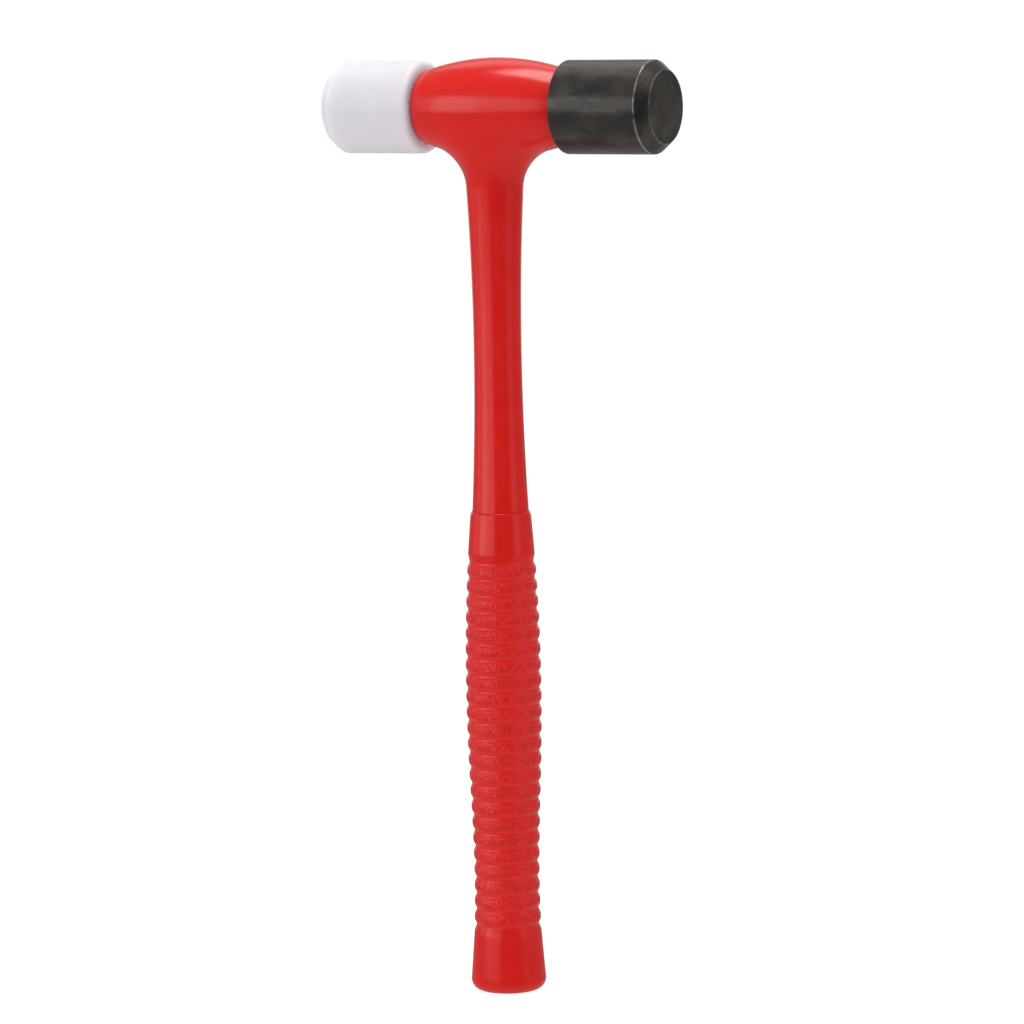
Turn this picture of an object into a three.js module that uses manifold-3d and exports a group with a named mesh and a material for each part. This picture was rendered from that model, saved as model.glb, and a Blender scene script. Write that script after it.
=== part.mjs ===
// Dead blow mallet: a steel canister in the head, about two thirds full of loose steel shot and
// welded to a steel core rod, with a moulded red jacket over both, a ribbed red grip sleeve on
// the lower half of the rod, and two screw-on striking faces, of black steel and white nylon.
//
// Millimetres. +Z runs up the handle, +X points to the steel face, and the origin is the centre
// of the flat under the butt, with the head at the top. The steel face pulls the centre of mass
// out past that flat, so the mallet doesn't stand free on its butt.
import * as THREE from "three";
import { mergeVertices } from "three/addons/utils/BufferGeometryUtils.js";
import Module from "manifold-3d";

const wasm = await Module();
wasm.setup();

// ---------------------------------------------------------------- driving dimensions

const GAP = 0.3; // clearance between pieces that touch on the real mallet

const HEAD_X = 1.5; // the head's middle sits this far from the handle's axis
const HEAD_Z = 288; // height of the head's axis above the butt
const BARREL_HALF = 25.9; // half the length of the red barrel
const BARREL_R = 16; // at the middle of the barrel
const BARREL_END_R = 11.5; // at each end, before its rounded edge
const BARREL_EDGE_R = 1; // rounding of that edge

const CANISTER_R = 10;
const CANISTER_WALL = 2;
const JACKET_LIP = 0.4; // the jacket stands this far past the end of the steel
const CANISTER_HALF = BARREL_HALF - JACKET_LIP;
const PLUG_LENGTH = 12;
const PLUG_FLOOR = 1.4; // steel left behind the blind tapped hole

const STUD_R = 4.9; // M10 x 1.5 thread, drawn at its outside diameter
const STUD_BEVEL = 0.9;
const STUD_IN_PLUG = 9.9;
const STUD_IN_FACE = 14;
const WASHER_R = 8.7;
const WASHER_THICKNESS = 2;
const WASHER_SPLIT = 0.35; // radians left open in the ring

const FACE_R = 15;
const FACE_CHAMFER = 3.9;
const STRIKE_R = 11.8; // the flat striking disc inside the chamfer
const FACE_BACK_CHAMFER = 0.7;
const STEEL_FACE_LENGTH = 34.7;
const NYLON_FACE_LENGTH = 33;

const SHOT_R = 2.5;
const SHOT_RING_R = 5.2; // six balls of one layer stand on this circle
const SHOT_LAYERS = 4;
const SHOT_PITCH = 4.4; // distance between two layers

const SHANK_WAIST_Z = 210; // the thinnest place on the red shank
const SHANK_WAIST_R = 7.6;
const SHANK_SWELL = 5.4e-4; // radius gained per square millimetre away from the waist
const NECK_START_Z = 263; // the fillet under the barrel starts here
const NECK_FILLET_R = 13;
const NECK_FILLET_END = 115; // degrees; the fillet starts at 180, upright, and turns outwards
const NECK_FLAT_Z = 275; // from here up the neck is fully flattened
const NECK_FLATTEN = 0.62; // the fillet is narrower across the barrel than along it
const NECK_TOP_Z = 282; // the neck ends inside the barrel
const TENON_R = 8; // the part of the shank that sits in the grip sleeve
const TENON_FOOT_Z = 118;

const SLEEVE_TOP_Z = 157.5;
const SLEEVE_TOP_R = 9.9;
const SLEEVE_EDGE = 0.5; // bevel round the sleeve's mouth
const COLLAR_FOOT_Z = 143.6;
const COLLAR_FOOT_R = 10.8;
const RIB_COUNT = 23;
const RIB_PITCH = 5.19;
const FIRST_GROOVE_Z = 141.1; // the ribs run down from here
const GROOVE_DEPTH = 0.66;
const CREST_FLAT = 0.4; // share of each rib that is its flat crest
const BUTT_TOP_Z = 19.6;
const BUTT_TOP_R = 10.9;
const BUTT_R = 12.2;
const BUTT_EDGE_R = 4; // rounding under the butt

const ROD_R = 4.5;
const ROD_FOOT_Z = 16;
const ROD_BEVEL = 0.8;

const ROUND = 40; // sides of the large turned pieces
const GRIP_ROUND = 28; // sides of the grip, which has many rings
const SMALL_ROUND = 24;

// ---------------------------------------------------------------- materials

const finish = (color, roughness, metalness) =>
  new THREE.MeshStandardMaterial({ color, roughness, metalness });

const redPlastic = finish(0xd02218, 0.25, 0);
const ribbedRed = finish(0xc41c14, 0.42, 0);
const whiteNylon = finish(0xe6e4ec, 0.4, 0);
const blackSteel = finish(0x3a3835, 0.35, 0.9);
const plainSteel = finish(0x9a9ca0, 0.4, 1);
const shotSteel = finish(0xb0b2b6, 0.25, 1);

// ---------------------------------------------------------------- helpers

const point = (radius, height) => new THREE.Vector2(radius, height);

// Profile points along an arc, its angles measured from the radial direction.
function arc(centreR, centreH, radius, fromDegrees, toDegrees, steps = 4) {
  const points = [];
  for (let i = 0; i <= steps; i++) {
    const angle = THREE.MathUtils.degToRad(
      fromDegrees + ((toDegrees - fromDegrees) * i) / steps,
    );
    points.push(
      point(centreR + radius * Math.cos(angle), centreH + radius * Math.sin(angle)),
    );
  }
  return points;
}

// A turned piece about +Z. The profile runs up the outside of the piece.
const turnedZ = (profile, sides = ROUND) =>
  new THREE.LatheGeometry(profile, sides).rotateX(Math.PI / 2);

// A turned piece about +X.
const turnedX = (profile, sides = ROUND) =>
  new THREE.LatheGeometry(profile, sides).rotateZ(-Math.PI / 2);

const rodProfile = (radius, low, high) => [
  point(0, low),
  point(radius, low),
  point(radius, high),
  point(0, high),
];

function solid(geometry) {
  const bare = geometry.clone();
  bare.deleteAttribute("normal");
  bare.deleteAttribute("uv");
  const merged = mergeVertices(bare, 1e-4);
  return new wasm.Manifold(
    new wasm.Mesh({
      numProp: 3,
      vertProperties: new Float32Array(merged.attributes.position.array),
      triVerts: new Uint32Array(merged.index.array),
    }),
  );
}

function geometryOf(manifold) {
  const mesh = manifold.getMesh();
  const geometry = new THREE.BufferGeometry();
  geometry.setAttribute(
    "position",
    new THREE.BufferAttribute(new Float32Array(mesh.vertProperties), 3),
  );
  geometry.setIndex(new THREE.BufferAttribute(new Uint32Array(mesh.triVerts), 1));
  geometry.computeVertexNormals();
  return geometry;
}

function node(name, geometry, material) {
  const mesh = new THREE.Mesh(geometry, material);
  mesh.name = name;
  return mesh;
}

// ---------------------------------------------------------------- red jacket over head and shank

// The barrel swells to its middle: radius lost grows with the square of the distance.
function barrelProfile() {
  const flatHalf = BARREL_HALF - BARREL_EDGE_R;
  const swell = (h) => BARREL_R - (BARREL_R - BARREL_END_R) * (h / flatHalf) ** 2;
  const side = [];
  const steps = 12;
  for (let i = 1; i < steps; i++) {
    const h = -flatHalf + (2 * flatHalf * i) / steps;
    side.push(point(swell(h), h));
  }
  const edgeR = BARREL_END_R - BARREL_EDGE_R;
  return [
    point(0, -BARREL_HALF),
    ...arc(edgeR, -flatHalf, BARREL_EDGE_R, -90, 0, 3),
    ...side,
    ...arc(edgeR, flatHalf, BARREL_EDGE_R, 0, 90, 3),
    point(0, BARREL_HALF),
  ];
}

const shankRadius = (z) => SHANK_WAIST_R + SHANK_SWELL * (z - SHANK_WAIST_Z) ** 2;

function shankProfile() {
  const shoulderZ = SLEEVE_TOP_Z + GAP;
  const side = [];
  const steps = 14;
  for (let i = 0; i <= steps; i++) {
    const z = shoulderZ + ((NECK_START_Z - shoulderZ) * i) / steps;
    side.push(point(shankRadius(z), z));
  }
  const wallR = shankRadius(NECK_START_Z);
  const filletR = NECK_FILLET_R;
  const fillet = arc(wallR + filletR, NECK_START_Z, filletR, 180, NECK_FILLET_END, 7);
  const rimR = fillet.at(-1).x;
  return [
    point(0, TENON_FOOT_Z),
    point(TENON_R, TENON_FOOT_Z),
    point(TENON_R, shoulderZ),
    ...side,
    ...fillet.slice(1),
    point(rimR, NECK_TOP_Z),
    point(0, NECK_TOP_Z),
  ];
}

// Across the barrel the fillet narrows with height, so that it runs into the barrel's sides.
function flattenNeck(geometry) {
  const position = geometry.attributes.position;
  for (let i = 0; i < position.count; i++) {
    const rise = THREE.MathUtils.smoothstep(position.getZ(i), NECK_START_Z, NECK_FLAT_Z);
    position.setY(i, position.getY(i) * THREE.MathUtils.lerp(1, NECK_FLATTEN, rise));
  }
  return geometry;
}

function headJacket() {
  const barrel = turnedX(barrelProfile()).translate(HEAD_X, 0, HEAD_Z);
  const shank = flattenNeck(turnedZ(shankProfile()));
  const canisterSpace = turnedX(
    rodProfile(CANISTER_R + GAP, -BARREL_HALF - 1, BARREL_HALF + 1),
  ).translate(HEAD_X, 0, HEAD_Z);
  const rodSpace = turnedZ(
    rodProfile(ROD_R + GAP, TENON_FOOT_Z - 1, HEAD_Z),
    SMALL_ROUND,
  );
  return geometryOf(
    solid(barrel)
      .add(solid(shank))
      .subtract(solid(canisterSpace))
      .subtract(solid(rodSpace)),
  );
}

// ---------------------------------------------------------------- ribbed grip sleeve

// The line over the rib crests, from the collar down to the butt. It swells for the palm.
const crestLine = new THREE.SplineCurve([
  point(10.9, 144),
  point(11.95, 122),
  point(12.3, 99),
  point(11.9, 77),
  point(11.05, 56),
  point(10.65, 37),
  point(10.9, 20),
]);

// The curve's points are close to evenly spaced in height, so its parameter follows the height.
function crestRadius(z) {
  const [top, foot] = [crestLine.points[0].y, crestLine.points.at(-1).y];
  return crestLine.getPoint((top - z) / (top - foot)).x;
}

function gripProfile() {
  const points = [point(0, 0), point(BUTT_R - BUTT_EDGE_R, 0)];
  points.push(...arc(BUTT_R - BUTT_EDGE_R, BUTT_EDGE_R, BUTT_EDGE_R, -75, 0, 5));
  points.push(point(BUTT_TOP_R, BUTT_TOP_Z));
  const lastGroove = FIRST_GROOVE_Z - RIB_COUNT * RIB_PITCH;
  const crestHalf = (CREST_FLAT / 2) * RIB_PITCH;
  for (let i = 0; i < RIB_COUNT; i++) {
    const grooveZ = lastGroove + i * RIB_PITCH;
    const crestZ = grooveZ + RIB_PITCH / 2;
    points.push(point(crestRadius(grooveZ) - GROOVE_DEPTH, grooveZ));
    points.push(point(crestRadius(crestZ), crestZ - crestHalf));
    points.push(point(crestRadius(crestZ), crestZ + crestHalf));
  }
  points.push(point(crestRadius(FIRST_GROOVE_Z) - GROOVE_DEPTH, FIRST_GROOVE_Z));
  points.push(point(COLLAR_FOOT_R, COLLAR_FOOT_Z));
  points.push(point(SLEEVE_TOP_R, SLEEVE_TOP_Z - SLEEVE_EDGE));
  points.push(point(SLEEVE_TOP_R - SLEEVE_EDGE, SLEEVE_TOP_Z));
  // The socket for the shank's tenon, and the deeper hole for the core rod.
  const tenonSpace = TENON_R + GAP;
  const rodSpace = ROD_R + GAP;
  points.push(point(tenonSpace, SLEEVE_TOP_Z));
  points.push(point(tenonSpace, TENON_FOOT_Z - GAP));
  points.push(point(rodSpace, TENON_FOOT_Z - GAP));
  points.push(point(rodSpace, ROD_FOOT_Z - GAP));
  points.push(point(0, ROD_FOOT_Z - GAP));
  return points;
}

// ---------------------------------------------------------------- steel inside the jacket

// The rod's upper end is coped to sit under the canister, where it is welded on.
function coreRod() {
  const rod = turnedZ(
    [
      point(0, ROD_FOOT_Z),
      point(ROD_R - ROD_BEVEL, ROD_FOOT_Z),
      point(ROD_R, ROD_FOOT_Z + ROD_BEVEL),
      point(ROD_R, HEAD_Z - CANISTER_R / 2),
      point(0, HEAD_Z - CANISTER_R / 2),
    ],
    SMALL_ROUND,
  );
  const canister = turnedX(
    rodProfile(CANISTER_R + GAP, -CANISTER_HALF, CANISTER_HALF),
  ).translate(HEAD_X, 0, HEAD_Z);
  return geometryOf(solid(rod).subtract(solid(canister)));
}

function canisterTube() {
  const bore = CANISTER_R - CANISTER_WALL;
  return turnedX([
    point(bore, CANISTER_HALF),
    point(bore, -CANISTER_HALF),
    point(CANISTER_R, -CANISTER_HALF),
    point(CANISTER_R, CANISTER_HALF),
    point(bore, CANISTER_HALF),
  ]);
}

// A plug closes one end of the canister, with a tapped hole drawn as a plain one.
// It is drawn for the +X end, with its outer face at 0.
function endPlug() {
  const radius = CANISTER_R - CANISTER_WALL - GAP;
  const tapped = STUD_R + GAP;
  return turnedX(
    [
      point(0, -PLUG_LENGTH),
      point(radius, -PLUG_LENGTH),
      point(radius, 0),
      point(tapped, 0),
      point(tapped, -PLUG_LENGTH + PLUG_FLOOR),
      point(0, -PLUG_LENGTH + PLUG_FLOOR),
    ],
    SMALL_ROUND,
  );
}

// ---------------------------------------------------------------- striking faces

// Each face is drawn for the +X end, with the plug's outer face at 0.
const FACE_BACK = BARREL_HALF - CANISTER_HALF + GAP;

function strikingFace(length) {
  const back = FACE_BACK;
  const front = back + length;
  const washerSeat = GAP + WASHER_THICKNESS + GAP;
  return turnedX([
    point(0, STUD_IN_FACE + GAP),
    point(STUD_R + GAP, STUD_IN_FACE + GAP),
    point(STUD_R + GAP, washerSeat),
    point(WASHER_R + GAP, washerSeat),
    point(WASHER_R + GAP, back),
    point(FACE_R - FACE_BACK_CHAMFER, back),
    point(FACE_R, back + FACE_BACK_CHAMFER),
    point(FACE_R, front - FACE_CHAMFER),
    point(STRIKE_R, front),
    point(0, front),
  ]);
}

function threadedStud() {
  return turnedX(
    [
      point(0, -STUD_IN_PLUG),
      point(STUD_R - STUD_BEVEL, -STUD_IN_PLUG),
      point(STUD_R, -STUD_IN_PLUG + STUD_BEVEL),
      point(STUD_R, STUD_IN_FACE - STUD_BEVEL),
      point(STUD_R - STUD_BEVEL, STUD_IN_FACE),
      point(0, STUD_IN_FACE),
    ],
    SMALL_ROUND,
  );
}

// A split spring washer, flat as it is when the face is screwed home.
function lockWasher() {
  const open = WASHER_SPLIT / 2;
  const ring = new THREE.Shape();
  ring.absarc(0, 0, WASHER_R, open, 2 * Math.PI - open, false);
  ring.absarc(0, 0, STUD_R + GAP, 2 * Math.PI - open, open, true);
  ring.closePath();
  const options = { depth: WASHER_THICKNESS, bevelEnabled: false, curveSegments: 16 };
  return new THREE.ExtrudeGeometry(ring, options).rotateY(Math.PI / 2).translate(GAP, 0, 0);
}

function faceSet(side, length, material) {
  const set = new THREE.Group();
  set.add(
    node(`${side}_end_plug`, endPlug(), plainSteel),
    node(`${side}_lock_washer`, lockWasher(), plainSteel),
    node(`${side}_threaded_stud`, threadedStud(), plainSteel),
    node(`${side}_face`, strikingFace(length), material),
  );
  return set;
}

// ---------------------------------------------------------------- shot

// Layers of seven and six balls by turns, the six turned half a step.
function shotPlaces() {
  const places = [];
  for (let layer = 0; layer < SHOT_LAYERS; layer++) {
    const x = (layer - (SHOT_LAYERS - 1) / 2) * SHOT_PITCH;
    const turned = layer % 2 ? Math.PI / 6 : 0;
    if (!turned) places.push(new THREE.Vector3(x, 0, 0));
    for (let k = 0; k < 6; k++) {
      const angle = turned + (k * Math.PI) / 3;
      places.push(
        new THREE.Vector3(x, SHOT_RING_R * Math.cos(angle), SHOT_RING_R * Math.sin(angle)),
      );
    }
  }
  return places;
}

function shotCharge() {
  const charge = new THREE.Group();
  shotPlaces().forEach((place, i) => {
    const ball = node(
      `shot_ball_${String(i + 1).padStart(2, "0")}`,
      new THREE.SphereGeometry(SHOT_R, 10, 7),
      shotSteel,
    );
    ball.position.copy(place);
    charge.add(ball);
  });
  return charge;
}

// ---------------------------------------------------------------- the mallet

const steelEnd = faceSet("steel", STEEL_FACE_LENGTH, blackSteel);
steelEnd.position.x = CANISTER_HALF;

const nylonEnd = faceSet("nylon", NYLON_FACE_LENGTH, whiteNylon);
nylonEnd.position.x = -CANISTER_HALF;
nylonEnd.rotation.z = Math.PI;

const head = new THREE.Group();
head.position.set(HEAD_X, 0, HEAD_Z);
head.add(
  node("canister_tube", canisterTube(), plainSteel),
  shotCharge(),
  steelEnd,
  nylonEnd,
);

const mallet = new THREE.Group();
mallet.add(
  node("head_jacket", headJacket(), redPlastic),
  node("grip_sleeve", turnedZ(gripProfile(), GRIP_ROUND), ribbedRed),
  node("core_rod", coreRod(), plainSteel),
  head,
);

export default mallet;
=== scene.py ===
"""Looks of the dead blow mallet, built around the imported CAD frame.

Metres in the part's own frame: +Z up the handle, +X to the black steel face, the butt on z = 0.
Shapes are worked out in millimetres, as they are on a drawing, and scaled once in make_object.
"""
import math

import bpy
import numpy as np
from mathutils import Matrix, Vector


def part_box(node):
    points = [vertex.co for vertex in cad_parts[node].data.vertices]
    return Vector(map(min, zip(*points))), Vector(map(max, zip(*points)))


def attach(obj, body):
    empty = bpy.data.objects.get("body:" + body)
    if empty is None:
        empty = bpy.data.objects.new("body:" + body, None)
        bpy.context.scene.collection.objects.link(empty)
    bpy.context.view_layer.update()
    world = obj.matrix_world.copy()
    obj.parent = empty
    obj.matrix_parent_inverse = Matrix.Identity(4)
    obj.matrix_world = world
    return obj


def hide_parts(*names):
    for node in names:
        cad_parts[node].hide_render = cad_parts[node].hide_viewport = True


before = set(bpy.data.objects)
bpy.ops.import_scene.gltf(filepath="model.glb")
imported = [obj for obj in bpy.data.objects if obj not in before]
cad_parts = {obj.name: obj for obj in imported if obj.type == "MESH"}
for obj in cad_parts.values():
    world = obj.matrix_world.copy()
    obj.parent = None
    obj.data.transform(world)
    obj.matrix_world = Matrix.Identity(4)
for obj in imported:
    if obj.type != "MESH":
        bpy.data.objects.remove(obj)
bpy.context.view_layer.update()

MM = 0.001
TAU = 2 * math.pi

# ------------------------------------------------------------------ dimensions, in millimetres


def box_mm(node):
    low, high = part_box(node)
    return np.array(low) / MM, np.array(high) / MM


TUBE_LOW, TUBE_HIGH = box_mm("canister_tube")
HEAD_X = (TUBE_LOW[0] + TUBE_HIGH[0]) / 2
HEAD_Z = (TUBE_LOW[2] + TUBE_HIGH[2]) / 2
CANISTER_HALF = (TUBE_HIGH[0] - TUBE_LOW[0]) / 2
CANISTER_R = (TUBE_HIGH[2] - TUBE_LOW[2]) / 2
CANISTER_BORE_R = 8.0
CANISTER_CLEARANCE = 0.05

JACKET_LOW, JACKET_HIGH = box_mm("head_jacket")
BARREL_HALF = (JACKET_HIGH[0] - JACKET_LOW[0]) / 2
BARREL_R = 15.95
BARREL_END_R = 12.0
BARREL_EDGE_R = 0.6

WAIST_Z = 210.0
WAIST_R = 7.74
SHANK_SWELL_ABOVE = 5.6e-4
SHANK_SWELL_BELOW = 5.1e-4
NECK_FILLET_R = 9.5
NECK_SIDE_FILLET_R = 12.0
NECK_TOP_Z = 274.0
TENON_R = 8.0
TENON_FOOT_Z = JACKET_LOW[2]
ROD_BORE_R = 4.7
ROD_BORE_FLOOR_Z = 15.8

SLEEVE_TOP_Z = box_mm("grip_sleeve")[1][2]
SHANK_FOOT_Z = SLEEVE_TOP_Z - 2.0  # the shank narrows to its tenon here, inside the sleeve
SOCKET_FLOOR_Z = SLEEVE_TOP_Z - 2.3
SOCKET_CLEARANCE = 0.06
TENON_CLEARANCE = 0.2
SLEEVE_TOP_R = 9.95
SHOULDER_Z = SLEEVE_TOP_Z - 2.4  # the sleeve's mouth is rounded from here up
SHOULDER_R = 0.72
COLLAR_FOOT_Z = 143.4
COLLAR_FOOT_R = 10.85
RIB_COUNT = 23
RIB_PITCH = 5.19
FIRST_GROOVE_Z = 141.1
LAST_GROOVE_Z = FIRST_GROOVE_Z - RIB_COUNT * RIB_PITCH
GROOVE_DEPTH = 0.68
GROOVE_SHARPNESS = 1.9  # above 1, the grooves are narrower than the crests
BUTT_TOP_Z = 19.6
BUTT_TOP_R = 10.95
BUTT_R = 12.2
BUTT_EDGE_R = 3.7

FACE_R = 15.0
STRIKE_R = 11.8
FACE_CHAMFER = 3.9
STUD_HOLE_R = 5.1
STUD_HOLE_DEPTH = 14.0
RECESS_R = 9.0
RECESS_DEPTH = 2.2
STEEL_ROUNDINGS = (0.22, 0.3, 0.22)  # front, back and chamfer edges
NYLON_ROUNDINGS = (1.4, 1.7, 1.8)
EDGE_WEAR_AND_HIGHLIGHT_WIDTH = 0.16

STUD_R = 4.9
STUD_THREAD_DEPTH = 0.85
HOLE_R = 5.65  # at the roots of the tapped hole's thread
HOLE_THREAD_DEPTH = 0.6
THREAD_PITCH = 1.5
THREAD_RUN_OUT = 0.8
STUD_END_SHRINK = 0.8
HOLE_FLOOR = 1.6
HOLE_COUNTERSINK = 0.35
PLUG_CLEARANCE = 0.02

WASHER_R = 8.7
WASHER_BORE_R = 5.3
WASHER_SPLIT = 0.18  # radians from the middle of the split to each end
WASHER_SLANT = 0.09
SADDLE_CLEARANCE = 0.1
SHOT_R = 2.5
SHOT_FLAT = 0.985

# ------------------------------------------------------------------ mesh helpers


def make_object(name, vertices, faces, sharp_degrees=38):
    """A mesh object from vertices in millimetres, smooth shaded except over sharp edges."""
    mesh = bpy.data.meshes.new(name)
    mesh.from_pydata((np.asarray(vertices) * MM).tolist(), [], faces)
    mesh.validate()
    mesh.shade_smooth()
    mesh.set_sharp_from_angle(angle=math.radians(sharp_degrees))
    piece = bpy.data.objects.new(name, mesh)
    bpy.context.scene.collection.objects.link(piece)
    return piece


def mark_vertices(piece, name, values):
    """Stores a number per vertex, for the material to read."""
    attribute = piece.data.attributes.new(name, "FLOAT", "POINT")
    attribute.data.foreach_set("value", np.asarray(values, np.float32))


def arc(centre_r, centre_h, radius, start, stop, steps):
    """Profile points of an arc, in degrees from the radial direction."""
    angles = np.radians(np.linspace(start, stop, steps + 1))
    return [(centre_r + radius * math.cos(a), centre_h + radius * math.sin(a)) for a in angles]


def rounded(points, radii, steps=5):
    """A profile with its inner corners replaced by arcs of the given radii."""
    result = [points[0]]
    for before, corner, after, radius in zip(points, points[1:], points[2:], radii):
        if radius == 0:
            result.append(corner)
            continue
        corner = np.array(corner, float)
        into = np.array(before, float) - corner
        out = np.array(after, float) - corner
        room = 0.45 * min(np.linalg.norm(into), np.linalg.norm(out))
        into /= np.linalg.norm(into)
        out /= np.linalg.norm(out)
        half = 0.5 * math.acos(float(np.clip(into @ out, -1, 1)))
        reach = min(radius / math.tan(half), room)
        radius = reach * math.tan(half)
        middle = corner + (into + out) / np.linalg.norm(into + out) * radius / math.sin(half)
        start = corner + into * reach - middle
        turn = math.pi - 2 * half
        side = math.copysign(1, into[0] * out[1] - into[1] * out[0])
        for i in range(steps + 1):
            angle = -side * turn * i / steps
            c, s = math.cos(angle), math.sin(angle)
            result.append(tuple(middle + np.array([c * start[0] - s * start[1],
                                                   s * start[0] + c * start[1]])))
    result.append(points[-1])
    return result


def ring_faces(rows, columns, first=0, wrap_rows=False):
    """Quads between the rings of a turned surface, each ring being closed."""
    faces = []
    last = rows if wrap_rows else rows - 1
    for i in range(last):
        low = first + i * columns
        high = first + ((i + 1) % rows) * columns
        for j in range(columns):
            k = (j + 1) % columns
            faces.append((low + j, low + k, high + k, high + j))
    return faces


def turned_z(profile, sides):
    """Vertices and faces of a profile turned about Z, running up its outside.

    A profile that starts or ends on the axis is closed there by a fan; one that ends where it
    starts makes a ring.
    """
    points = [tuple(p) for p in profile]
    is_ring = np.allclose(points[0], points[-1])
    if is_ring:
        points = points[:-1]
    low_pole = None if is_ring or points[0][0] > 1e-9 else points.pop(0)
    high_pole = None if is_ring or points[-1][0] > 1e-9 else points.pop()
    angles = np.arange(sides) * TAU / sides
    rings = np.array([[(r * math.cos(a), r * math.sin(a), h) for a in angles] for r, h in points])
    vertices = rings.reshape(-1, 3).tolist()
    faces = ring_faces(len(points), sides, wrap_rows=is_ring)
    if low_pole:
        vertices.append((0, 0, low_pole[1]))
        pole = len(vertices) - 1
        faces += [(pole, (j + 1) % sides, j) for j in range(sides)]
    if high_pole:
        vertices.append((0, 0, high_pole[1]))
        pole = len(vertices) - 1
        top = (len(points) - 1) * sides
        faces += [(pole, top + j, top + (j + 1) % sides) for j in range(sides)]
    return np.array(vertices), faces


def along_x(vertices, origin_x, direction):
    """Puts a piece turned about Z onto the head's axis, its own +Z running along direction * X."""
    x, y, z = vertices.T
    return np.stack([origin_x + direction * z, direction * y, HEAD_Z - x], axis=1)


def finish_piece(piece, body, nodes, material):
    piece.data.materials.clear()
    piece.data.materials.append(material)
    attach(piece, body)
    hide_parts(*nodes)
    return piece


def evaluated_copy(piece):
    """Applies a piece's modifiers and returns its new mesh."""
    graph = bpy.context.evaluated_depsgraph_get()
    mesh = bpy.data.meshes.new_from_object(piece.evaluated_get(graph))
    piece.modifiers.clear()
    piece.data = mesh
    return mesh


def cut_away(piece, cutter):
    boolean = piece.modifiers.new("cut", "BOOLEAN")
    boolean.operation = "DIFFERENCE"
    boolean.solver = "EXACT"
    boolean.object = cutter
    evaluated_copy(piece)
    bpy.data.objects.remove(cutter)


# ------------------------------------------------------------------ the red jacket


def shank_swell(z):
    return np.where(np.asarray(z) > WAIST_Z, SHANK_SWELL_ABOVE, SHANK_SWELL_BELOW)


def shank_radius(z):
    return WAIST_R + shank_swell(z) * (z - WAIST_Z) ** 2


def rounded_corner_distance(a, b, radius):
    """Distance to the solid inside both a and b, its outer corner rounded."""
    over = np.hypot(np.maximum(a + radius, 0), np.maximum(b + radius, 0))
    return np.minimum(-radius, np.maximum(a, b)) + over


def filleted_union(a, b, radius):
    """Distance to the solid inside a or b, with a fillet in the inner corner."""
    under = np.hypot(np.maximum(radius - a, 0), np.maximum(radius - b, 0))
    return np.maximum(radius, np.minimum(a, b)) - under


def jacket_distance(points):
    """Signed distance, near enough, to the jacket's outside."""
    x, y, z = points.T
    along = np.abs(x - HEAD_X)
    swell = (BARREL_R - BARREL_END_R) / (BARREL_HALF - BARREL_EDGE_R) ** 2
    slope = np.sqrt(1 + (2 * swell * along) ** 2)
    barrel_side = (np.hypot(y, z - HEAD_Z) - BARREL_R + swell * along ** 2) / slope
    barrel = rounded_corner_distance(barrel_side, along - BARREL_HALF, BARREL_EDGE_R)
    radial = np.hypot(x, y)
    wall_slope = np.sqrt(1 + (2 * shank_swell(z) * (z - WAIST_Z)) ** 2)
    shank_side = (radial - shank_radius(z)) / wall_slope
    over_top = z - NECK_TOP_Z
    shank = np.where(over_top > 0, np.hypot(np.maximum(shank_side, 0), over_top), shank_side)
    sideways = (y / np.maximum(radial, 1.0)) ** 4
    fillet = NECK_FILLET_R + (NECK_SIDE_FILLET_R - NECK_FILLET_R) * sideways
    body = filleted_union(barrel, shank, fillet)
    body = np.maximum(body, SHANK_FOOT_Z - z)
    tenon = np.maximum(radial - TENON_R, np.abs(z - (TENON_FOOT_Z + SLEEVE_TOP_Z) / 2)
                       - (SLEEVE_TOP_Z - TENON_FOOT_Z) / 2)
    return np.minimum(body, tenon)


def distance_gradient(points, step=1e-3):
    gradient = np.zeros_like(points)
    for axis in range(3):
        shift = np.zeros(3)
        shift[axis] = step
        difference = jacket_distance(points + shift) - jacket_distance(points - shift)
        gradient[:, axis] = difference / (2 * step)
    return gradient


def onto_jacket(points, rounds):
    for _ in range(rounds):
        gradient = distance_gradient(points)
        size = np.maximum((gradient ** 2).sum(1), 0.2)
        points = points - gradient * (jacket_distance(points) / size)[:, None]
    return points


def rough_jacket():
    """Overlapping turned solids near the jacket's outside, joined by a voxel remesh."""
    half = BARREL_HALF
    barrel_profile = [(0, -half), (BARREL_END_R, -half)]
    barrel_profile += [(BARREL_R - 4.4 * t * t, half * t) for t in np.linspace(-0.8, 0.8, 9)]
    barrel_profile += [(BARREL_END_R, half), (0, half)]
    barrel, barrel_faces = turned_z(barrel_profile, 64)
    barrel = along_x(barrel, HEAD_X, 1)
    shank_profile = [(0, TENON_FOOT_Z), (TENON_R, TENON_FOOT_Z), (TENON_R, SHANK_FOOT_Z)]
    shank_profile += [(shank_radius(z), z) for z in np.linspace(SHANK_FOOT_Z, 262, 20)]
    shank_profile += [(10.6, 268), (12.5, 272), (12.5, 278), (0, 278)]
    shank, shank_faces = turned_z(shank_profile, 64)
    shift = len(barrel)
    faces = barrel_faces + [tuple(i + shift for i in face) for face in shank_faces]
    piece = make_object("head_jacket_skin", np.vstack([barrel, shank]), faces)
    remesh = piece.modifiers.new("remesh", "REMESH")
    remesh.mode = "VOXEL"
    remesh.voxel_size = 0.6 * MM
    evaluated_copy(piece)
    return piece


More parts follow.
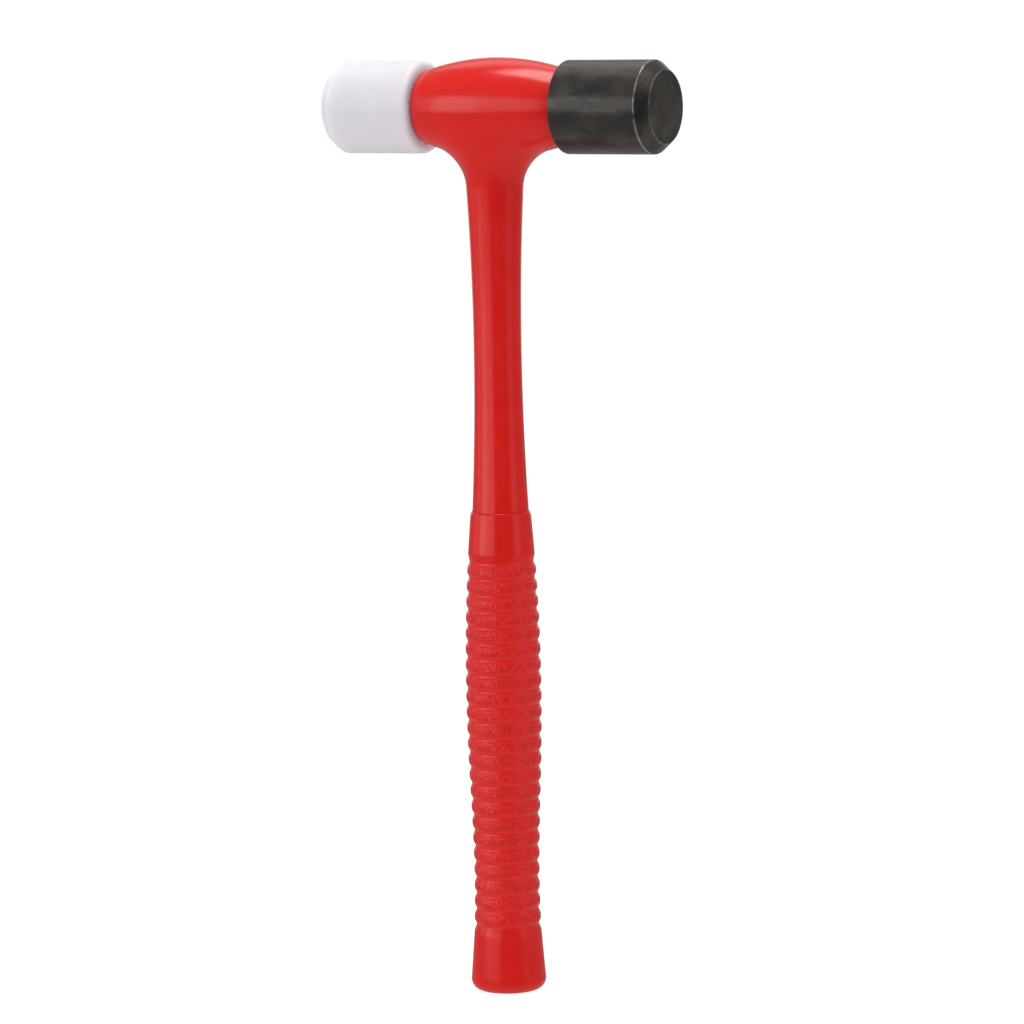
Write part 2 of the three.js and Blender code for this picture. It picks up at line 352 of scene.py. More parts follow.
def smooth_onto_jacket(mesh, rounds=14):
    """Moves the vertices onto the exact surface, sliding them so that they space out evenly."""
    count = len(mesh.vertices)
    points = np.zeros(count * 3)
    mesh.vertices.foreach_get("co", points)
    points = points.reshape(-1, 3) / MM
    edges = np.zeros(len(mesh.edges) * 2, int)
    mesh.edges.foreach_get("vertices", edges)
    a, b = edges.reshape(-1, 2).T
    neighbours = np.bincount(a, minlength=count) + np.bincount(b, minlength=count)
    points = onto_jacket(points, 8)
    for _ in range(rounds):
        mean = np.stack([(np.bincount(a, points[b, k], count) + np.bincount(b, points[a, k], count))
                         / neighbours for k in range(3)], axis=1)
        points = onto_jacket(points + 0.6 * (mean - points), 2)
    points = onto_jacket(points, 3)
    mesh.vertices.foreach_set("co", (points * MM).ravel())
    mesh.update()


def head_jacket(material):
    piece = rough_jacket()
    smooth_onto_jacket(piece.data)
    bore = CANISTER_R + CANISTER_CLEARANCE
    canister, canister_faces = turned_z([(0, -40), (bore, -40), (bore, 40), (0, 40)], 160)
    cut_away(piece, make_object("cutter", along_x(canister, HEAD_X, 1), canister_faces))
    rod, rod_faces = turned_z([(0, 100), (ROD_BORE_R, 100), (ROD_BORE_R, HEAD_Z),
                               (0, HEAD_Z)], 96)
    cut_away(piece, make_object("cutter", rod, rod_faces))
    piece.data.shade_smooth()
    piece.data.set_sharp_from_angle(angle=math.radians(40))
    return finish_piece(piece, "mallet_body", ["head_jacket"], material)


# ------------------------------------------------------------------ the ribbed grip


CREST_LINE = [  # height and radius over the rib crests
    (144, 10.9), (122, 11.95), (99, 12.3), (77, 11.9), (56, 11.05), (37, 10.65), (20, 10.9)]


def crest_radius(z):
    """A smooth line over the rib crests, by cubic Hermite spans between the chosen points."""
    heights = [p[0] for p in CREST_LINE][::-1]
    radii = [p[1] for p in CREST_LINE][::-1]
    slopes = np.gradient(radii, heights)
    i = int(np.clip(np.searchsorted(heights, z) - 1, 0, len(heights) - 2))
    span = heights[i + 1] - heights[i]
    t = (z - heights[i]) / span
    return ((2 * t ** 3 - 3 * t ** 2 + 1) * radii[i] + (t ** 3 - 2 * t ** 2 + t) * span * slopes[i]
            + (3 * t ** 2 - 2 * t ** 3) * radii[i + 1] + (t ** 3 - t ** 2) * span * slopes[i + 1])


def groove_depth(z):
    """Broad round crests with narrower grooves between them."""
    phase = (z - LAST_GROOVE_Z) / RIB_PITCH
    return GROOVE_DEPTH * (0.5 + 0.5 * math.cos(TAU * phase)) ** GROOVE_SHARPNESS


def grip_profile():
    points = [(0, 0), (BUTT_R - BUTT_EDGE_R - 0.3, 0)]
    points += arc(BUTT_R - BUTT_EDGE_R, BUTT_EDGE_R, BUTT_EDGE_R, -85, 0, 16)
    for t in np.linspace(0.1, 0.94, 9):
        radius = BUTT_R + (BUTT_TOP_R - BUTT_R) * t
        points.append((radius, BUTT_EDGE_R + (BUTT_TOP_Z - BUTT_EDGE_R) * t))
    points += [(BUTT_TOP_R - 0.02, BUTT_TOP_Z + 0.1), (BUTT_TOP_R - 0.18, BUTT_TOP_Z + 0.6)]
    steps = RIB_COUNT * 14
    for i in range(steps + 1):
        z = LAST_GROOVE_Z - 0.6 + i * (FIRST_GROOVE_Z - LAST_GROOVE_Z + 1.2) / steps
        points.append((crest_radius(z) - groove_depth(z), z))
    points += [(COLLAR_FOOT_R - 0.22, COLLAR_FOOT_Z - 0.7), (COLLAR_FOOT_R - 0.03, COLLAR_FOOT_Z)]
    for t in np.linspace(0.06, 0.95, 10):
        radius = COLLAR_FOOT_R + (SLEEVE_TOP_R - COLLAR_FOOT_R) * t
        points.append((radius, COLLAR_FOOT_Z + (SHOULDER_Z - COLLAR_FOOT_Z) * t))
    for angle in np.radians(np.linspace(0, 90, 10)):
        points.append((SLEEVE_TOP_R - SHOULDER_R * (1 - math.cos(angle)),
                       SHOULDER_Z + (SLEEVE_TOP_Z - SHOULDER_Z) * math.sin(angle)))
    mouth = float(shank_radius(SLEEVE_TOP_Z)) + SOCKET_CLEARANCE
    socket = TENON_R + TENON_CLEARANCE
    points += [(mouth + 0.12, SLEEVE_TOP_Z), (mouth, SLEEVE_TOP_Z - 0.15)]
    points += [(mouth, SOCKET_FLOOR_Z), (socket, SOCKET_FLOOR_Z)]
    points += [(socket, TENON_FOOT_Z - TENON_CLEARANCE),
               (ROD_BORE_R, TENON_FOOT_Z - TENON_CLEARANCE)]
    points += [(ROD_BORE_R, ROD_BORE_FLOOR_Z), (0, ROD_BORE_FLOOR_Z)]
    return points


def grip_sleeve(material):
    vertices, faces = turned_z(grip_profile(), 168)
    piece = make_object("grip_sleeve_ribbed", vertices, faces)
    heights = vertices[:, 2]
    outside = np.hypot(vertices[:, 0], vertices[:, 1]) > 9.3
    ribbed = (heights > LAST_GROOVE_Z - 0.4) & (heights < FIRST_GROOVE_Z + 0.4) & outside
    crest = 0.5 - 0.5 * np.cos(TAU * (heights - LAST_GROOVE_Z) / RIB_PITCH)
    grain = np.clip((crest - 0.3) / 0.25, 0, 1)
    mark_vertices(piece, "grain", np.where(ribbed, grain, 0))
    # The groove mark tells the material where to paint the grooves lighter, as a painted highlight.
    mark_vertices(piece, "groove", np.where(ribbed, 1 - grain, 0))
    return finish_piece(piece, "mallet_body", ["grip_sleeve"], material)


# ------------------------------------------------------------------ striking faces


def face_profile(length, front_rounding, back_rounding, chamfer_rounding):
    """One striking face, its back at 0. Its stud hole and washer recess open at the back."""
    points = [(0, STUD_HOLE_DEPTH), (STUD_HOLE_R, STUD_HOLE_DEPTH), (STUD_HOLE_R, RECESS_DEPTH),
              (RECESS_R, RECESS_DEPTH), (RECESS_R, 0), (FACE_R, 0),
              (FACE_R, length - FACE_CHAMFER), (STRIKE_R, length), (0, length)]
    radii = [0, 0.2, 0, 0.25, back_rounding, chamfer_rounding, front_rounding]
    outline = rounded(points, radii, steps=8)
    # Long straight stretches are split, so that the surface detail has vertices to follow.
    dense = [outline[0]]
    for low, high in zip(outline, outline[1:]):
        spans = max(1, int(np.linalg.norm(np.subtract(high, low)) / 0.35))
        dense += [tuple(np.add(low, np.subtract(high, low) * k / spans))
                  for k in range(1, spans + 1)]
    return dense


def striking_face(side, direction, material, roundings):
    low, high = box_mm(f"{side}_face")
    back = low[0] if direction > 0 else high[0]
    length = high[0] - low[0]
    vertices, faces = turned_z(face_profile(length, *roundings), 192)
    piece = make_object(f"{side}_face_turned", along_x(vertices, back, direction), faces, 30)
    radius = np.hypot(vertices[:, 0], vertices[:, 1])
    # Lighter bands along the edges, strongest at the chamfer's foot: partly worn metal, partly a
    # painted highlight.
    edges = ((FACE_R, length - FACE_CHAMFER, 0.9), (STRIKE_R, length, 0.4), (FACE_R, 0, 0.4))
    wear = [amount * np.clip(1.5 - np.hypot(radius - r, vertices[:, 2] - h) / EDGE_WEAR_AND_HIGHLIGHT_WIDTH, 0, 1)
            for r, h, amount in edges]
    mark_vertices(piece, "edge_wear_and_highlight", np.max(wear, axis=0))
    return finish_piece(piece, f"{side}_face_set", [f"{side}_face"], material)


# ------------------------------------------------------------------ steel inside


def thread_surface(radius, depth, low, high, end_shrink, sides=48):
    """Rows of a helical V thread below radius. It runs out at both ends, by end_shrink."""
    rows = int((high - low) / (THREAD_PITCH / 10))
    heights = np.linspace(low, high, rows)
    angles = np.arange(sides) * TAU / sides
    rings = []
    for h in heights:
        phase = (h / THREAD_PITCH - angles / TAU) % 1.0
        groove = np.clip(1.25 - 2.5 * np.abs(phase - 0.5), 0, 1)
        fade = min(1, (h - low) / THREAD_RUN_OUT, (high - h) / THREAD_RUN_OUT)
        r = radius - depth * (1 - groove) * fade - end_shrink * (1 - fade)
        rings.append(np.stack([r * np.cos(angles), r * np.sin(angles), np.full(sides, h)], 1))
    return np.array(rings)


def threaded_rod(low, high):
    rings = thread_surface(STUD_R, STUD_THREAD_DEPTH, low, high, STUD_END_SHRINK)
    rows, sides, _ = rings.shape
    vertices = rings.reshape(-1, 3).tolist() + [(0, 0, low), (0, 0, high)]
    faces = ring_faces(rows, sides)
    faces += [(rows * sides, (j + 1) % sides, j) for j in range(sides)]
    top = (rows - 1) * sides
    faces += [(rows * sides + 1, top + j, top + (j + 1) % sides) for j in range(sides)]
    return np.array(vertices), faces


def threaded_stud(side, direction, material):
    low, high = box_mm(f"{side}_threaded_stud")
    length = high[0] - low[0]
    inner = low[0] if direction > 0 else high[0]
    vertices, faces = threaded_rod(0, length)
    piece = make_object(f"{side}_stud_thread", along_x(vertices, inner, direction), faces, 60)
    return finish_piece(piece, f"{side}_face_set",
                        [f"{side}_threaded_stud"], material)


def end_plug(side, direction, material):
    """A plug with a chamfered rim and a tapped blind hole in its outer face."""
    low, high = box_mm(f"{side}_end_plug")
    length = high[0] - low[0]
    inner = low[0] if direction > 0 else high[0]
    radius = CANISTER_BORE_R - PLUG_CLEARANCE
    mouth = HOLE_R + HOLE_COUNTERSINK
    outside = rounded([(0, 0), (radius, 0), (radius, length), (mouth, length)], [0.5, 0.35])
    hole = thread_surface(HOLE_R, HOLE_THREAD_DEPTH, HOLE_FLOOR, length - HOLE_COUNTERSINK,
                          end_shrink=0)[::-1]
    sides = hole.shape[1]
    outer, outer_faces = turned_z(outside, sides)
    rim = len(outside) - 2
    vertices = np.vstack([outer, hole.reshape(-1, 3), [(0, 0, HOLE_FLOOR)]])
    faces = list(outer_faces)
    first = len(outer)
    for j in range(sides):
        k = (j + 1) % sides
        faces.append((rim * sides + j, rim * sides + k, first + k, first + j))
    faces += ring_faces(hole.shape[0], sides, first)
    bottom = first + (hole.shape[0] - 1) * sides
    floor = len(vertices) - 1
    faces += [(floor, bottom + j, bottom + (j + 1) % sides) for j in range(sides)]
    piece = make_object(f"{side}_plug_tapped", along_x(vertices, inner, direction), faces, 35)
    return finish_piece(piece, "mallet_body", [f"{side}_end_plug"], material)


def lock_washer(side, direction, material):
    """A split ring of rectangular section with eased edges and a slanted cut."""
    low, high = box_mm(f"{side}_lock_washer")
    inner = low[0] if direction > 0 else high[0]
    thickness = high[0] - low[0]
    seam = (WASHER_R + WASHER_BORE_R) / 2
    section = rounded([(seam, 0), (WASHER_R, 0), (WASHER_R, thickness),
                       (WASHER_BORE_R, thickness), (WASHER_BORE_R, 0), (seam, 0)],
                      [0.3] * 4, steps=3)[:-1]
    steps = 72
    vertices = []
    for i in range(steps + 1):
        for r, h in section:
            slant = WASHER_SLANT * (h / thickness - 0.5)
            angle = WASHER_SPLIT + slant + (TAU - 2 * WASHER_SPLIT) * i / steps
            vertices.append((r * math.cos(angle), r * math.sin(angle), h))
    count = len(section)
    faces = []
    for i in range(steps):
        for j in range(count):
            k = (j + 1) % count
            faces.append((i * count + j, (i + 1) * count + j, (i + 1) * count + k, i * count + k))
    faces.append(tuple(range(count)))
    faces.append(tuple(steps * count + j for j in reversed(range(count))))
    vertices = along_x(np.array(vertices), inner, direction)
    piece = make_object(f"{side}_washer_split", vertices, faces)
    return finish_piece(piece, f"{side}_washer_carrier",
                        [f"{side}_lock_washer"], material)


def canister_tube(material):
    bore, outer, half = CANISTER_BORE_R, CANISTER_R, CANISTER_HALF
    profile = rounded([(bore, 0), (bore, -half), (outer, -half), (outer, half), (bore, half),
                       (bore, 0)], [0.35] * 4)
    vertices, faces = turned_z(profile, 128)
    piece = make_object("canister_tube_steel", along_x(vertices, HEAD_X, 1), faces)
    return finish_piece(piece, "mallet_body", ["canister_tube"], material)


def core_rod(material):
    low, high = box_mm("core_rod")
    radius = (high[0] - low[0]) / 2
    top = HEAD_Z - 5
    profile = rounded([(0, low[2]), (radius, low[2]), (radius, top), (0, top)], [0.8, 0])
    vertices, faces = turned_z(profile, 96)
    piece = make_object("core_rod_steel", vertices, faces)
    saddle_r = CANISTER_R + SADDLE_CLEARANCE
    saddle, saddle_faces = turned_z([(0, -30), (saddle_r, -30), (saddle_r, 30), (0, 30)], 128)
    cut_away(piece, make_object("cutter", along_x(saddle, HEAD_X, 1), saddle_faces))
    piece.data.shade_smooth()
    piece.data.set_sharp_from_angle(angle=math.radians(38))
    return finish_piece(piece, "mallet_body", ["core_rod"], material)


def shot_ball(node, material):
    """A forged ball: a subdivided cube pushed out to a sphere, with a faint flat on one pole."""
    low, high = box_mm(node)
    centre = (low + high) / 2
    steps = np.linspace(-1, 1, 11)
    vertices = {}
    faces = []

    def vertex(p):
        key = tuple(np.round(p, 6))
        return vertices.setdefault(key, len(vertices))

    for axis in range(3):
        for sign in (-1, 1):
            for u0, u1 in zip(steps, steps[1:]):
                for v0, v1 in zip(steps, steps[1:]):
                    corners = [(u0, v0), (u1, v0), (u1, v1), (u0, v1)]
                    face = []
                    for u, v in corners if sign > 0 else corners[::-1]:
                        p = np.zeros(3)
                        p[axis], p[(axis + 1) % 3], p[(axis + 2) % 3] = sign, u, v
                        face.append(vertex(p))
                    faces.append(tuple(face))
    points = np.array(list(vertices))
    points = np.tan(points * math.pi / 4)
    points /= np.linalg.norm(points, axis=1)[:, None]
    points[:, 2] = np.minimum(points[:, 2], SHOT_FLAT)
    radius = min(SHOT_R, *((high - low) / 2))
    piece = make_object(f"{node}_steel", centre + points * radius, faces, 60)
    return finish_piece(piece, "shot_charge", [node], material)


# ------------------------------------------------------------------ materials


class Material:
    """A node material with a Principled shader, and short ways to add the nodes before it."""

    def __init__(self, name, color, roughness, metallic=0.0, specular=0.5):
        self.data = bpy.data.materials.new(name)
        self.data.use_nodes = True
        self.nodes = self.data.node_tree.nodes
        self.links = self.data.node_tree.links
        self.shader = self.nodes["Principled BSDF"]
        self.set("Base Color", (*color, 1))
        self.set("Roughness", roughness)
        self.set("Metallic", metallic)
        self.set("Specular IOR Level", specular)
        self.coordinates = self.nodes.new("ShaderNodeTexCoord").outputs["Object"]

    def set(self, socket, value):
        self.shader.inputs[socket].default_value = value

    def link(self, source, socket):
        self.links.new(source, self.shader.inputs[socket])

    def scaled(self, scale):
        mapping = self.nodes.new("ShaderNodeMapping")
        mapping.inputs["Scale"].default_value = scale
        self.links.new(self.coordinates, mapping.inputs["Vector"])
        return mapping.outputs["Vector"]

    def turning_path(self):
        """Length and radius on the head's axis, which change only along a turned profile."""
        offset = self.nodes.new("ShaderNodeVectorMath")
        offset.operation = "MULTIPLY_ADD"
        self.links.new(self.coordinates, offset.inputs[0])
        offset.inputs[1].default_value = (0, 1, 1)
        offset.inputs[2].default_value = (0, 0, -HEAD_Z * MM)
        radius = self.nodes.new("ShaderNodeVectorMath")
        radius.operation = "LENGTH"
        self.links.new(offset.outputs["Vector"], radius.inputs[0])
        split = self.nodes.new("ShaderNodeSeparateXYZ")
        self.links.new(self.coordinates, split.inputs[0])
        path = self.nodes.new("ShaderNodeCombineXYZ")
        self.links.new(split.outputs["X"], path.inputs["X"])
        self.links.new(radius.outputs["Value"], path.inputs["Y"])
        return path.outputs["Vector"]

    def noise(self, scale, stretch=(1, 1, 1), detail=3.0, roughness=0.55, along=None):
        node = self.nodes.new("ShaderNodeTexNoise")
        node.inputs["Scale"].default_value = scale
        node.inputs["Detail"].default_value = detail
        node.inputs["Roughness"].default_value = roughness
        self.links.new(along or self.scaled(stretch), node.inputs["Vector"])
        return node.outputs["Fac"]

    def cells(self, scale, stretch=(1, 1, 1), feature="F1"):
        node = self.nodes.new("ShaderNodeTexVoronoi")
        node.feature = feature
        node.inputs["Scale"].default_value = scale
        self.links.new(self.scaled(stretch), node.inputs["Vector"])
        return node.outputs["Distance"]

    def math(self, operation, a, b=None, clamp=False):
        node = self.nodes.new("ShaderNodeMath")
        node.operation = operation
        node.use_clamp = clamp
        for value, socket in zip((a, b), node.inputs):
            if value is None:
                continue
            if isinstance(value, (int, float)):
                socket.default_value = value
            else:
                self.links.new(value, socket)
        return node.outputs[0]

    def remap(self, source, low, high, to_low, to_high):
        node = self.nodes.new("ShaderNodeMapRange")
        node.inputs["From Min"].default_value = low
        node.inputs["From Max"].default_value = high
        node.inputs["To Min"].default_value = to_low
        node.inputs["To Max"].default_value = to_high
        self.links.new(source, node.inputs["Value"])
        return node.outputs["Result"]

    def mix_color(self, factor, a, b):
        node = self.nodes.new("ShaderNodeMix")
        node.data_type = "RGBA"
        for value, socket in zip((a, b), (node.inputs[6], node.inputs[7])):
            if isinstance(value, tuple):
                socket.default_value = (*value, 1)
            else:
                self.links.new(value, socket)
        self.links.new(factor, node.inputs["Factor"])
        return node.outputs[2]

    def attribute(self, name):
        node = self.nodes.new("ShaderNodeAttribute")
        node.attribute_name = name
        return node.outputs["Fac"]

    def bump(self, height, strength, distance, below=None):
        node = self.nodes.new("ShaderNodeBump")
        node.inputs["Distance"].default_value = distance
        if isinstance(strength, (int, float)):
            node.inputs["Strength"].default_value = strength
        else:
            self.links.new(strength, node.inputs["Strength"])
        self.links.new(height, node.inputs["Height"])
        if below is not None:
            self.links.new(below, node.inputs["Normal"])
        return node.outputs["Normal"]


def red_jacket_plastic():
    """Glossy moulded plastic: faint orange peel, slow colour drift and a few small specks."""
    m = Material("red_jacket_plastic", (0.54, 0.0035, 0.0013), 0.2)
    drift = m.remap(m.noise(28, detail=2), 0.35, 0.65, 0, 1)
    m.link(m.mix_color(drift, (0.53, 0.003, 0.001), (0.555, 0.004, 0.0016)), "Base Color")
    m.link(m.remap(m.noise(150, detail=4), 0.35, 0.7, 0.17, 0.25), "Roughness")
    peel = m.bump(m.noise(300, detail=1), 0.06, 0.0002)
    specks = m.remap(m.cells(62), 0.02, 0.05, 1, 0)
    m.link(m.bump(specks, 0.9, 0.0002, peel), "Normal")
    return m.data


def red_grip_plastic():
    """The same plastic, with a fine leather-like grain moulded over the rib crests, and the grooves
    painted lighter as a painted highlight.
    """
    m = Material("red_grip_plastic", (0.54, 0.0035, 0.0013), 0.24)
    grain_here = m.attribute("grain")
    creases = m.remap(m.cells(640, (1, 1, 0.8), "DISTANCE_TO_EDGE"), 0.0, 0.25, 0, 1)
    fine = m.noise(1500, detail=3, roughness=0.6)
    height = m.math("ADD", creases, m.math("MULTIPLY", fine, 1.1))
    peel = m.bump(m.noise(300, detail=1), 0.05, 0.0002)
    m.link(m.bump(height, grain_here, 0.00012, peel), "Normal")
    m.link(m.remap(grain_here, 0, 1, 0.21, 0.27), "Roughness")
    drift = m.remap(m.noise(60, detail=3), 0.35, 0.65, 0, 1)
    plain = m.mix_color(drift, (0.525, 0.003, 0.001), (0.55, 0.004, 0.0016))
    # The grooves get a lighter, pinker red. This is a painted highlight, not a colour of the plastic.
    smooth = m.mix_color(m.attribute("groove"), plain, (0.6, 0.008, 0.0045))
    grained = m.mix_color(m.remap(m.noise(700, detail=3), 0.38, 0.62, 0, 1),
                          (0.49, 0.0015, 0.0005), (0.62, 0.005, 0.0025))
    m.link(m.mix_color(grain_here, smooth, grained), "Base Color")
    return m.data


def white_nylon():
    """Translucent nylon: light goes a little way in, with a satin, slightly uneven skin."""
    m = Material("white_nylon", (0.585, 0.57, 0.6), 0.42)
    m.set("Subsurface Weight", 0.9)
    m.set("Subsurface Radius", (0.014, 0.0125, 0.0135))
    m.set("Subsurface Scale", 1.0)
    cloud = m.remap(m.noise(70, detail=3), 0.3, 0.7, 0, 1)
    m.link(m.mix_color(cloud, (0.572, 0.556, 0.59), (0.592, 0.575, 0.608)), "Base Color")
    marks = m.noise(900, detail=2, along=m.turning_path())
    m.link(m.bump(marks, 0.12, 0.00006), "Normal")
    m.link(m.remap(m.noise(300, detail=4), 0.3, 0.7, 0.36, 0.5), "Roughness")
    return m.data


def black_oxide_steel():
    """Turned steel blackened by oxide: lathe marks, rubbed streaks, brown patches, and lighter edges
    that are partly wear and partly a painted highlight.
    """
    m = Material("black_oxide_steel", (0.05, 0.046, 0.042), 0.3, metallic=0.6)
    patches = m.remap(m.noise(60, (1, 1.3, 1.3), detail=5, roughness=0.62), 0.38, 0.64, 0, 1)
    base = m.mix_color(patches, (0.03, 0.0295, 0.029), (0.06, 0.051, 0.041))
    streaks = m.remap(m.noise(170, (0.3, 1, 1), detail=6, roughness=0.7), 0.48, 0.72, 0, 0.75)
    base = m.mix_color(streaks, base, (0.105, 0.097, 0.084))
    rubbed = m.remap(m.noise(300, detail=3, roughness=0.6), 0.36, 0.6, 0.1, 1)
    edge_wear_and_highlight = m.math("MULTIPLY", m.attribute("edge_wear_and_highlight"), rubbed, clamp=True)
    # The lighter edge colour is partly bare worn metal and partly a painted highlight.
    m.link(m.mix_color(edge_wear_and_highlight, base, (0.42, 0.405, 0.38)), "Base Color")
    m.link(m.math("MAXIMUM", edge_wear_and_highlight, 0.6), "Metallic")
    marks = m.noise(4200, detail=2, along=m.turning_path())
    m.link(m.bump(marks, 0.2, 0.00004), "Normal")
    m.link(m.remap(patches, 0, 1, 0.22, 0.34), "Roughness")
    return m.data


def turned_steel(name, color, roughness):
    m = Material(name, color, roughness, metallic=1.0)
    marks = m.noise(2600, detail=3, along=m.turning_path())
    m.link(m.bump(marks, 0.12, 0.0001), "Normal")
    wear = m.remap(m.noise(220, detail=4), 0.3, 0.7, 0.8 * roughness, 1.25 * roughness)
    m.link(wear, "Roughness")
    return m.data


def stage_cloth():
    """White cloth that also glows, so that the backdrop reads as pure white."""
    m = Material("stage_cloth", (0.16, 0.16, 0.16), 0.9, specular=0.1)
    m.link(m.mix_color(m.noise(6), (0.155, 0.155, 0.155), (0.165, 0.165, 0.165)), "Base Color")
    m.set("Emission Color", (1, 1, 1, 1))
    m.set("Emission Strength", 0.88)
    return m.data


# ------------------------------------------------------------------ the mallet


def build_mallet():
    steel = turned_steel("plain_steel", (0.52, 0.525, 0.54), 0.3)
    shot = turned_steel("shot_steel", (0.6, 0.605, 0.62), 0.18)
    head_jacket(red_jacket_plastic())
    grip_sleeve(red_grip_plastic())
    striking_face("steel", 1, black_oxide_steel(), STEEL_ROUNDINGS)
    striking_face("nylon", -1, white_nylon(), NYLON_ROUNDINGS)
    for side, direction in (("steel", 1), ("nylon", -1)):
        threaded_stud(side, direction, steel)
        end_plug(side, direction, steel)
        lock_washer(side, direction, steel)
    canister_tube(steel)
    core_rod(steel)
    for node in sorted(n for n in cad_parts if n.startswith("shot_ball")):
        shot_ball(node, shot)


# ------------------------------------------------------------------ stage, light and camera


STAGE_RADIUS = 3.2  # metres, as everything on the stage
STAGE_BEND = 0.8
STAGE_HEIGHT = 2.6
HEAD_HEIGHT = 0.288


def round_stage(material):
    """A pale floor that curves up into a wall all round, the same backdrop for every view."""
    flat = STAGE_RADIUS - STAGE_BEND
    profile = [(0, 0), (0.5, 0), (flat, 0)]
    for angle in np.radians(np.linspace(7.5, 90, 12)):
        profile.append((flat + STAGE_BEND * math.sin(angle), STAGE_BEND * (1 - math.cos(angle))))
    profile.append((STAGE_RADIUS, STAGE_HEIGHT))
    sides = 72
    angles = np.arange(sides) * TAU / sides
    vertices = [(r * math.cos(a), r * math.sin(a), h) for r, h in profile[1:] for a in angles]
    faces = [face[::-1] for face in ring_faces(len(profile) - 1, sides)]
    vertices.append((0, 0, 0))
    faces += [(len(vertices) - 1, j, (j + 1) % sides) for j in range(sides)]
    piece = make_object("studio_floor_and_wall", np.array(vertices) / MM, faces, 60)
    piece.data.materials.append(material)
    piece.visible_glossy = False


def from_camera_side(azimuth, distance, height):
    """A place at an angle right of the camera's own direction, seen from the mallet."""
    angle = math.radians(CAMERA_AZIMUTH + azimuth)
    return Vector((distance * math.sin(angle), -distance * math.cos(angle), height))


def softbox(name, place, target, width, height, radiance, glossy=True):
    light = bpy.data.lights.new(name, "AREA")
    light.shape = "RECTANGLE"
    light.size = width
    light.size_y = height
    light.energy = radiance * math.pi * width * height
    lamp = bpy.data.objects.new(name, light)
    lamp.location = place
    lamp.rotation_euler = (Vector(target) - place).to_track_quat("-Z", "Y").to_euler()
    lamp.visible_camera = False
    lamp.visible_glossy = glossy
    bpy.context.scene.collection.objects.link(lamp)


def upright_softbox(name, azimuth, distance, width, foot, top, radiance):
    """A lamp that stands upright, from its foot to its top in height, some of them past the floor."""
    middle = (foot + top) / 2
    place = from_camera_side(azimuth, distance, middle)
    softbox(name, place, (0, 0, middle), width, top - foot, radiance)


def studio_world():
    """Dim surroundings, with a dark region where the camera and its black cloth stand."""
    world = bpy.data.worlds.new("studio")
    world.use_nodes = True
    nodes, links = world.node_tree.nodes, world.node_tree.links
    direction = nodes.new("ShaderNodeTexCoord").outputs["Generated"]
    split = nodes.new("ShaderNodeSeparateXYZ")
    links.new(direction, split.inputs[0])
    height = nodes.new("ShaderNodeMapRange")
    height.inputs["From Min"].default_value = -1
    links.new(split.outputs["Z"], height.inputs["Value"])
    ramp = nodes.new("ShaderNodeValToRGB")
    links.new(height.outputs["Result"], ramp.inputs["Fac"])
    stops = [(-90, 0.4), (-16, 0.34), (-6, 0.2), (12, 0.25), (35, 0.4), (90, 0.36)]
    elements = ramp.color_ramp.elements
    for position in (0.2, 0.4, 0.6, 0.8):
        elements.new(position)
    for element, (elevation, level) in zip(elements, stops):
        element.position = (1 + math.sin(math.radians(elevation))) / 2
        element.color = (level, level, level, 1)
    towards = nodes.new("ShaderNodeVectorMath")
    towards.operation = "DOT_PRODUCT"
    links.new(direction, towards.inputs[0])
    towards.inputs[1].default_value = from_camera_side(5, 1, 0)
    cloth = nodes.new("ShaderNodeMapRange")
    cloth.interpolation_type = "SMOOTHSTEP"
    for socket, value in (("From Min", 0.62), ("From Max", 0.88), ("To Min", 1), ("To Max", 0.06)):
        cloth.inputs[socket].default_value = value
    links.new(towards.outputs["Value"], cloth.inputs["Value"])
    links.new(ramp.outputs["Color"], nodes["Background"].inputs["Color"])
    links.new(cloth.outputs["Result"], nodes["Background"].inputs["Strength"])
    bpy.context.scene.world = world


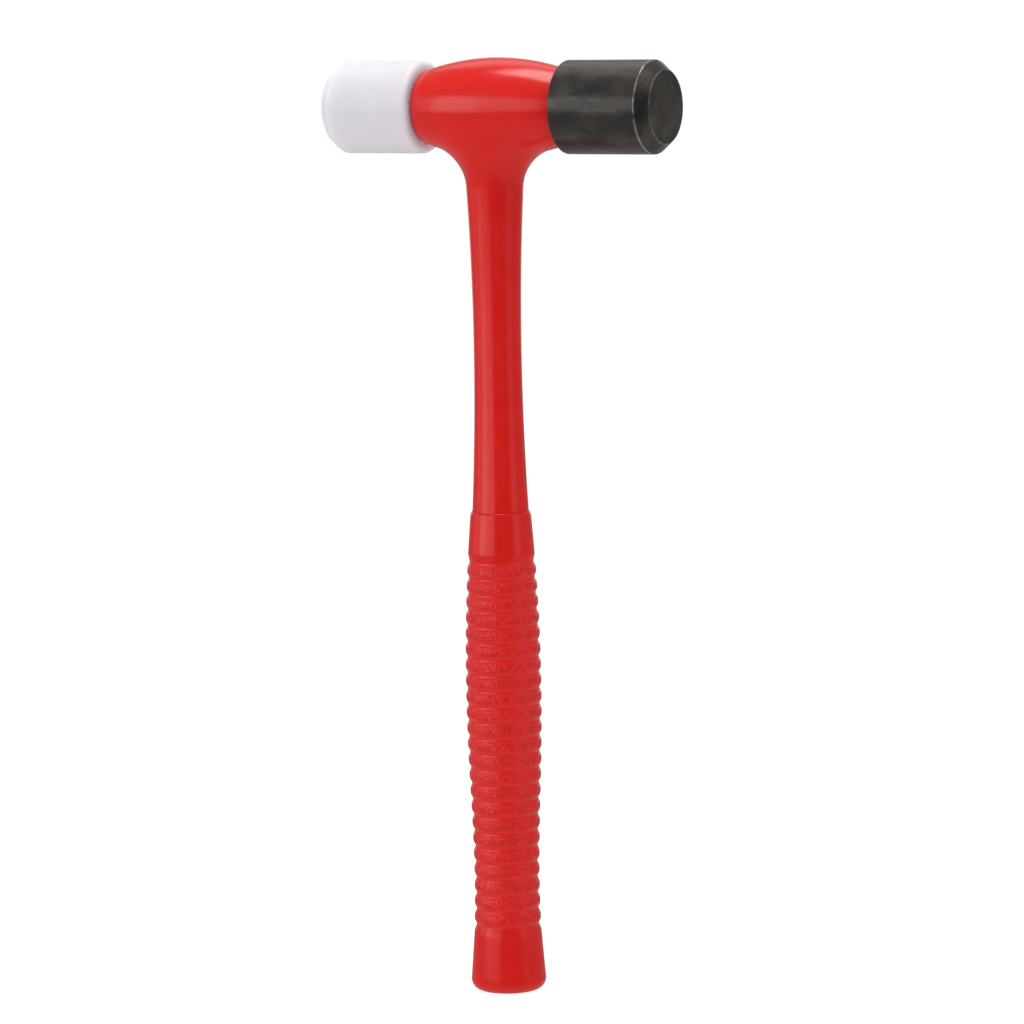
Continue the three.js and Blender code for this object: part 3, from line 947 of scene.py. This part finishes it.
def studio_light():
    head = (0, 0, HEAD_HEIGHT)
    studio_world()
    softbox("overhead", from_camera_side(90, 0.08, 2.1), (0.05, 0, HEAD_HEIGHT), 1.4, 1.1, 5)
    softbox("overhead_fill", from_camera_side(-60, 0.5, 2.2), head, 2.0, 2.0, 1.0, glossy=False)
    softbox("high_back", from_camera_side(180, 1.5, 1.9), head, 1.6, 0.9, 0.7)
    upright_softbox("left_near", -42, 3.0, 1.8, -0.12, 1.5, 1.1)
    upright_softbox("left", -70, 3.0, 1.3, -0.12, 1.5, 1.75)
    upright_softbox("far_left", -99, 3.0, 1.7, -0.12, 1.4, 0.5)
    upright_softbox("right", 60, 2.1, 0.9, 0.05, 1.0, 0.45)
    upright_softbox("rim", 180, 2.3, 3.0, 0.0, 1.0, 0.55)


CAMERA_AZIMUTH = 29.18  # degrees from the front, towards the steel face
CAMERA_ELEVATION = 6.44
CAMERA_ROLL = -1.016
CAMERA_DISTANCE = 1.6
CAMERA_TARGET = Vector((0, 0, 0.15))
CAMERA_AIM = (0.00356, 0.00703)  # right and up of the target, in the picture's plane
CAMERA_LENS = 173.4  # in millimetres, as the sensor's width
CAMERA_SENSOR = 36


def photograph_camera():
    azimuth, elevation, roll = (math.radians(a) for a in
                                (CAMERA_AZIMUTH, CAMERA_ELEVATION, CAMERA_ROLL))
    back = Vector((math.sin(azimuth) * math.cos(elevation),
                   -math.cos(azimuth) * math.cos(elevation), math.sin(elevation)))
    level = Vector((math.cos(azimuth), math.sin(azimuth), 0))
    rise = back.cross(level)
    right = math.cos(roll) * level + math.sin(roll) * rise
    up = -math.sin(roll) * level + math.cos(roll) * rise
    place = CAMERA_TARGET + right * CAMERA_AIM[0] + up * CAMERA_AIM[1] + back * CAMERA_DISTANCE
    data = bpy.data.cameras.new("camera")
    data.lens = CAMERA_LENS
    data.sensor_width = CAMERA_SENSOR
    camera = bpy.data.objects.new("camera", data)
    turn = Matrix((right, up, back)).transposed().to_4x4()
    camera.matrix_world = Matrix.Translation(place) @ turn
    bpy.context.scene.collection.objects.link(camera)
    bpy.context.scene.camera = camera


bpy.context.scene.view_settings.view_transform = "Standard"
photograph_camera()
build_mallet()
round_stage(stage_cloth())
studio_light()
